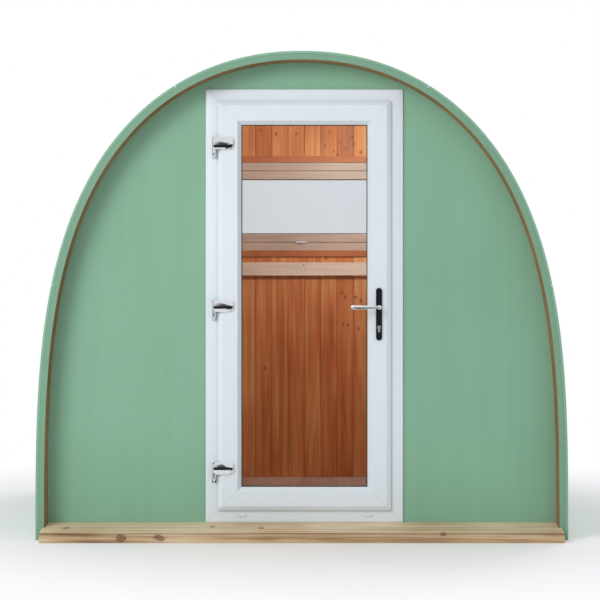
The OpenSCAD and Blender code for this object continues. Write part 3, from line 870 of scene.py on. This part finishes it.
def cover(level, low, high):
    """Rows of points from the pin to a rounded end, bulged outwards, with a flat copy behind them."""
    start, end = PIN.x - 0.002, high.x
    rows, columns = 12, 18
    points, faces = [], []
    for layer in (0, 1):
        for i in range(columns + 1):
            share = i / columns
            x = start + (end - start) * (1 - (1 - share) ** 1.6)
            narrow = min(1, max(0, (x - start) / (end - start) - 0.5) / 0.5)
            half = COVER_HALF - COVER_TAPER * narrow * narrow
            corner = max(0.0, x - (end - COVER_ROUND))
            half -= COVER_ROUND - math.sqrt(max(COVER_ROUND ** 2 - corner ** 2, 0)) if corner else 0
            for j in range(rows + 1):
                across = 2 * j / rows - 1
                bulge = COVER_BULGE * across * across
                bulge += 0.006 * (corner / COVER_ROUND) ** 3 if corner else 0
                y = low.y + bulge if layer == 0 else LEAF_FACE
                points.append((x, min(y, LEAF_FACE), level + half * across))
    size = rows + 1
    sheet = (columns + 1) * size
    for i in range(columns):
        for j in range(rows):
            a = i * size + j
            faces.append([a, a + 1, a + size + 1, a + size])
            faces.append([sheet + a, sheet + a + size, sheet + a + size + 1, sheet + a + 1])
    rim_line = [i * size for i in range(columns + 1)] + [columns * size + j for j in range(1, size)]
    rim_line += [i * size + rows for i in range(columns - 1, -1, -1)] + list(range(rows - 1, 0, -1))
    for a, b in zip(rim_line, rim_line[1:] + rim_line[:1]):
        faces.append([a, b, b + sheet, a + sheet])
    return points, faces, [0] * len(faces), 0.5


print("hinge covers", round(2 * COVER_HALF, 3), "m high, with the pin", round(PIN.x, 3), "m across")

# %% [markdown]
# The base screws to the frame and holds the pin from below: a thin plate, a web and a round foot that
# tapers to its end. The knuckle round the pin belongs to the cover, because it swings with the leaf.

# %% Build the three hinges
for name in ("upper", "middle", "lower"):
    base_low, base_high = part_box(name + "_hinge_base")
    flag_low, flag_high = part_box(name + "_hinge_flag")
    level = (flag_low.z + flag_high.z) / 2
    radius = PIN.x - flag_low.x
    top, bottom = flag_high.z, flag_low.z
    knuckle = turned(PIN, "z", [(bottom + 0.0003, radius * 0.9), (bottom + 0.001, radius),
                                (top - 0.002, radius), (top, radius * 0.8)])
    make(name + "_flag_cover", [cover(level, flag_low, flag_high), knuckle], [chrome], "door",
         [name + "_hinge_flag"], edge=0.0)
    taper = [(0, 0.12), (0.003, 0.36), (0.008, 0.62), (0.014, 0.84), (0.02, 0.97), (0.024, 1.0)]
    foot = turned(PIN, "z", [(base_low.z + rise, radius * share) for rise, share in taper]
                  + [(bottom - 0.001, radius), (bottom - 0.0003, radius * 0.9)])
    plate = prism(rounded(base_low.x, base_low.z, base_high.x, base_high.z, 0.004), "y",
                  frame_low.y - 0.005, frame_low.y)
    web = prism(box_outline(PIN.x - 0.004, PIN.y, PIN.x + 0.004, frame_low.y), "z", base_low.z + 0.022,
                bottom - 0.002)
    make(name + "_base_cover", [plate, web, foot], [chrome], "pod", [name + "_hinge_base"],
         edge=0.0006)

# %% [markdown]
# ## Handle and lock
# Two long black backplates carry the chrome levers, and the lock cylinder shows below them in its keyed
# shape. The plates and the lock ride with the door. The levers turn on a spindle of their own.

# %% Backplates and screws
AXLE = Vector(next(joint for joint in frame["joints"] if joint["name"] == "handle_turn")["pos_m"])
plate_low, plate_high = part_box("handle_backplates")
plate_line = rounded(plate_low.x, plate_low.z, plate_high.x, plate_high.z, 0.0139, steps=14)
LEAF_BACK = leaf_high.y
plates = [prism(plate_line, "y", plate_low.y, LEAF_FACE), prism(plate_line, "y", LEAF_BACK, plate_high.y)]
make("black_backplates", plates, [black], "door", ["handle_backplates"], edge=0.003,
     segments=4)

screws = []
for drop in (0.039, -0.14):
    for face, out in ((plate_low.y, -0.0008), (plate_high.y, 0.0008)):
        spot = (AXLE.x, 0, AXLE.z + drop)
        screws.append(turned(spot, "y", [(face + out, 0.002), (face + out * 0.6, 0.0028),
                                         (face - out, 0.0028)], count=20))
make("plate_screws", screws, [black], "door", edge=0.0)
print("backplates", round(plate_high.z - plate_low.z, 3), "m long with", len(screws), "screws")

# %% [markdown]
# The lock cylinder has its standard section: a round barrel for the key over a narrower round foot. Two
# arcs make the outline, and a small dark slot where the key goes in is painted shade: the dark of the
# keyway.

# %% Lock cylinder
lock_low, lock_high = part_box("lock_cylinder")
lock_r = (lock_high.x - lock_low.x) / 2
lock_z = lock_high.z - lock_r
lock_line = []
for i in range(25):
    turn = math.radians(-54 + 288 * i / 24)
    lock_line.append((AXLE.x + lock_r * math.cos(turn), lock_z + lock_r * math.sin(turn)))
for i in range(9):
    turn = math.radians(180 + 180 * i / 8)
    lock_line.append((AXLE.x + 0.005 * math.cos(turn), lock_low.z + 0.005 + 0.005 * math.sin(turn)))
make("keyed_cylinder", [prism(lock_line, "y", lock_low.y, lock_high.y)], [steel], "door",
     ["lock_cylinder"], edge=0.0006)
# The keyway is a thin black plate on each face: painted shade, where a real keyway is a dark hole.
slot_line = rounded(AXLE.x - 0.0011, lock_z - 0.004, AXLE.x + 0.0011, lock_z + 0.004, 0.001, 4)
keyway_shades = [prism(slot_line, "y", face - 0.0003, face + 0.0003) for face in (lock_low.y, lock_high.y)]
make("keyway_shade_plates", keyway_shades, [rubber], "door", edge=0.0)
print("lock", round(AXLE.z - lock_z, 3), "m below the levers")

# %% [markdown]
# ## Levers
# Each lever is an oval bar that swells towards its tip, on a stem with a domed end. An oval section
# catches the sky on its upper half and the ground just below its middle, which is what makes it read as
# polished metal. A loft through ovals gives that shape, and an extruded outline would not.

# %% Loft an oval bar
OVAL_POWER = 0.77
BAR_T = 0.012
STEM_R = 0.0108
NECK_HALF = 0.0074


def loft(rings, sides=36):
    """A solid through upright ovals, a little square; rings hold a centre, half height and half depth."""
    points = []
    for (x, y, z), tall, deep in rings:
        for i in range(sides):
            turn = 2 * math.pi * i / sides
            parts = math.cos(turn), math.sin(turn)
            ahead, up = (math.copysign(abs(part) ** OVAL_POWER, part) for part in parts)
            points.append((x, y + deep * ahead, z + tall * up))
    faces = [list(range(sides)), list(range(len(points) - sides, len(points)))]
    for ring in range(len(rings) - 1):
        start = ring * sides
        for i in range(sides):
            j = (i + 1) % sides
            faces.append([start + i, start + j, start + sides + j, start + sides + i])
    return points, faces, [0] * len(faces), 0.5


def lever_bar(low, high, front, back):
    """An oval bar, slim at the spindle and full towards its round tip."""
    tip_r = (high.z - low.z) / 2 - 0.0008
    middle, deep = (front + back) / 2, (back - front) / 2
    rings = []
    for i in range(1, 9):
        turn = math.pi / 2 * i / 8
        centre = (low.x + tip_r * (1 - math.cos(turn)), middle, AXLE.z)
        rings.append((centre, tip_r * math.sin(turn), deep * math.sin(turn)))
    for i in range(1, 13):
        share = i / 12
        tall = tip_r + (NECK_HALF - tip_r) * share * share * (3 - 2 * share)
        centre = (low.x + tip_r + (AXLE.x - low.x - tip_r) * share, middle, AXLE.z)
        rings.append((centre, tall, deep))
    return loft(rings)


print("a lever is", round(2 * NECK_HALF, 4), "m high at its neck and", BAR_T, "m thick")

# %% [markdown]
# A stem carries each bar clear of its plate and ends in a dome. Both levers ride on the handle's own
# body, so they turn together, and they swing with the door because that body hangs on the leaf.

# %% Build the two levers
for node, plate, sign in (("outer_lever", plate_low.y, -1), ("inner_lever", plate_high.y, 1)):
    low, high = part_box(node)
    front, back = (low.y, low.y + BAR_T) if sign < 0 else (high.y - BAR_T, high.y)
    reach = plate - low.y if sign < 0 else high.y - plate
    stem = [(0.0006, STEM_R), (0.006, STEM_R), (0.008, 0.0094), (0.010, 0.0078), (reach - 0.015, 0.0078),
            (reach - 0.012, 0.0098)]
    for i in range(9):
        turn = math.radians(11 * i)
        stem.append((reach - 0.008 + 0.008 * math.sin(turn), STEM_R * math.cos(turn)))
    boss = [(plate + sign * away, radius) for away, radius in stem]
    solids = [lever_bar(low, high, front, back), turned(AXLE, "y", boss)]
    make(node + "_bar", solids, [chrome], "handle", [node], edge=0.0)
print("levers from", round(AXLE.x, 4), "to", round(low.x, 4))

# %% [markdown]
# ## Window latch
# The back window closes with a small lever: a flat plate, a tapered grip and a round pivot with a screw.
# The grip is another loft, so it comes after the door's levers.

# %% Build the latch
latch_low, latch_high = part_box("window_latch")
latch_z = (latch_low.z + latch_high.z) / 2
PIVOT_X = latch_low.x + 0.069
plate_outline = rounded(PIVOT_X - 0.026, latch_low.z + 0.002, PIVOT_X + 0.026, latch_high.z - 0.002, 0.006)
latch_plate = prism(plate_outline, "y", latch_high.y - 0.005, latch_high.y)
grip_y = latch_low.y + 0.0045
GRIP_END = latch_high.x - PIVOT_X
stations = [(-0.027, 0.003, 0.002), (-0.024, 0.0055, 0.003), (0, 0.006, 0.0035), (0.02, 0.0045, 0.003),
            (GRIP_END - 0.003, 0.003, 0.0025), (GRIP_END, 0.0015, 0.0015)]
grip = loft([((PIVOT_X + along, grip_y, latch_z), tall, deep) for along, tall, deep in stations])
pivot = turned((PIVOT_X, 0, latch_z), "y", [(latch_low.y + 0.0003, 0.0058), (latch_low.y + 0.001, 0.0066),
                                            (latch_high.y - 0.004, 0.0068)], count=24)
screw_profile = [(latch_low.y, 0.0032), (latch_low.y + 0.002, 0.0032)]
points, faces, _, tone = turned((PIVOT_X, 0, latch_z), "y", screw_profile, count=20)
screw = (points, faces, [1] * len(faces), tone)
make("window_latch_set", [latch_plate, grip, pivot, screw], [plastic, black], "pod",
     ["window_latch"], edge=0.0)
print("latch", round(GRIP_END + 0.027, 3), "m long")

# %% [markdown]
# ## Studio
# A pale floor, an even white surround and two soft lamps show every colour about as written. Cameras,
# mirrors and glass see plain white. The floor takes the pod's shadow near it and fades to that white
# further away, so no horizon shows.

# %% Floor
def floor_finish():
    made, tree, shader = finish_named("studio floor")
    shade = ramp(tree, noise(tree, 2.0), [(0.3, colour(246, 245, 245)), (0.7, colour(249, 248, 248))])
    tree.links.new(shade, shader.inputs["Base Color"])
    shader.inputs["Roughness"].default_value = 0.9
    shader.inputs["Specular IOR Level"].default_value = 0.1
    place = add(tree, "ShaderNodeTexCoord").outputs["Object"]
    far = add(tree, "ShaderNodeVectorMath", {0: place}, operation="LENGTH").outputs["Value"]
    settings = {"Value": far, "From Min": 1.3, "From Max": 3.4}
    fade = add(tree, "ShaderNodeMapRange", settings, interpolation_type="SMOOTHSTEP").outputs["Result"]
    seen = add(tree, "ShaderNodeLightPath").outputs["Is Camera Ray"]
    glow = add(tree, "ShaderNodeEmission", {"Color": (1, 1, 1, 1), "Strength": 1.0})
    both = add(tree, "ShaderNodeMixShader", {0: sums(tree, "MULTIPLY", fade, seen),
                                             1: shader.outputs[0], 2: glow.outputs[0]})
    tree.links.new(both.outputs[0], tree.nodes["Material Output"].inputs["Surface"])
    return made


FLOOR_REACH = 30.0
floor_mesh = bpy.data.meshes.new("floor")
floor_mesh.from_pydata([(-FLOOR_REACH, -FLOOR_REACH, 0), (FLOOR_REACH, -FLOOR_REACH, 0),
                        (FLOOR_REACH, FLOOR_REACH, 0), (-FLOOR_REACH, FLOOR_REACH, 0)], [], [[0, 1, 2, 3]])
floor_mesh.materials.append(floor_finish())
floor = bpy.data.objects.new("floor", floor_mesh)
bpy.context.scene.collection.objects.link(floor)
floor.location.z = -0.0005
floor.visible_glossy = False
print("floor", round(2 * FLOOR_REACH), "m across")

# %% [markdown]
# Polished metal looks like metal only if it mirrors something darker than itself. A dark card with a
# ragged top edge stands far in front, where only mirror reflections see it.

# %% Dark card for the chrome
CARD_Y = -14
CARD_LINE = [(-9, -5), (-1.35, -5), (-1.3, -3.2), (-0.7, -3.2), (-0.65, -5), (0.55, -5), (0.65, -12),
             (1.2, -12), (1.3, -5), (9, -5), (9, 0.9), (5, 1.6), (3.2, 0.8), (1.6, 0.98), (0.4, 0.94),
             (-0.5, 0.9), (-0.78, 0.9), (-0.83, 1.4), (-0.875, 3.6), (-0.94, 4.0), (-0.97, 5.6),
             (-1.0, 5.2), (-1.03, 1.0), (-1.06, 0.3), (-1.3, 0.6), (-1.6, 0.9), (-3, 1.5), (-5.5, 0.7),
             (-9, 1.2)]
card_mesh = bpy.data.meshes.new("dark card")
card_mesh.from_pydata([(x, CARD_Y, z) for x, z in CARD_LINE], [], [list(range(len(CARD_LINE)))])
card_mesh.materials.append(coat("dark card", colour(14, 18, 20), colour(34, 40, 42), (0.8, 0.9)))
card = bpy.data.objects.new("dark_card", card_mesh)
bpy.context.scene.collection.objects.link(card)
card.visible_camera = False
card.visible_diffuse = False
card.visible_shadow = False
card.visible_transmission = False
print("card", -CARD_Y, "m in front, with", len(CARD_LINE), "corners")

# %% [markdown]
# The surround lights the pod evenly from every side, and shows itself as plain white.

# %% Surround
world = bpy.data.worlds.new("studio")
bpy.context.scene.world = world
world.use_nodes = True
tree = world.node_tree
lighting = tree.nodes["Background"]
lighting.inputs["Color"].default_value = (0.98, 0.99, 1.0, 1)
lighting.inputs["Strength"].default_value = 0.7
white = add(tree, "ShaderNodeBackground", {"Color": (1, 1, 1, 1), "Strength": 1.0})
path = add(tree, "ShaderNodeLightPath")
seen = sums(tree, "MAXIMUM", path.outputs["Is Camera Ray"], path.outputs["Is Glossy Ray"])
seen = sums(tree, "MAXIMUM", seen, path.outputs["Is Transmission Ray"])
mixed = add(tree, "ShaderNodeMixShader", {0: seen, 1: lighting.outputs[0], 2: white.outputs[0]})
tree.links.new(mixed.outputs[0], tree.nodes["World Output"].inputs["Surface"])
print("surround at strength", lighting.inputs["Strength"].default_value)

# %% [markdown]
# A large lamp in front shades the walls slowly, a second one lights the back, and a small one in the
# room brings out the boards. Large lamps throw soft shadows.

# %% Lamps
def lamp(name, place, target, width, height, power):
    """A soft rectangular lamp that points at a target."""
    data = bpy.data.lights.new(name, "AREA")
    data.shape = "RECTANGLE"
    data.size, data.size_y = width, height
    data.energy = power
    made = bpy.data.objects.new(name, data)
    bpy.context.scene.collection.objects.link(made)
    made.location = place
    made.rotation_euler = (Vector(target) - Vector(place)).to_track_quat("-Z", "Y").to_euler()
    return made


lamp("key lamp", (-4.5, -6.5, 4.5), (0, 0, 1.0), 3.4, 3.4, 252)
lamp("back lamp", (4.5, 6.5, 4.5), (0, 0, 1.0), 3.0, 3.0, 160)
lamp("room lamp", (0.4, -0.2, 1.985), (0.5, 0.95, 1.78), 0.3, 0.15, 10)

# %% [markdown]
# ## Camera
# The view is square to the front, at about chest height and eight metres away: far enough that the
# arch keeps its true shape, near enough that the recess and the room still show their depth.

# %% Place the camera
CAMERA_AWAY = 8.0
CAMERA_UP = 1.099
CAMERA_ASIDE = -0.0085
camera_data = bpy.data.cameras.new("camera")
camera_data.lens = 104.85
camera_data.sensor_width = 36
camera = bpy.data.objects.new("camera", camera_data)
bpy.context.scene.collection.objects.link(camera)
camera.location = (CAMERA_ASIDE, SHELL_FRONT - CAMERA_AWAY, CAMERA_UP)
camera.rotation_euler = (math.pi / 2, 0, 0)
bpy.context.scene.camera = camera
bpy.context.scene.view_settings.view_transform = "Standard"
print("camera at", [round(place, 3) for place in camera.location])

# %% Finish
print(len(MADE), "pieces made")
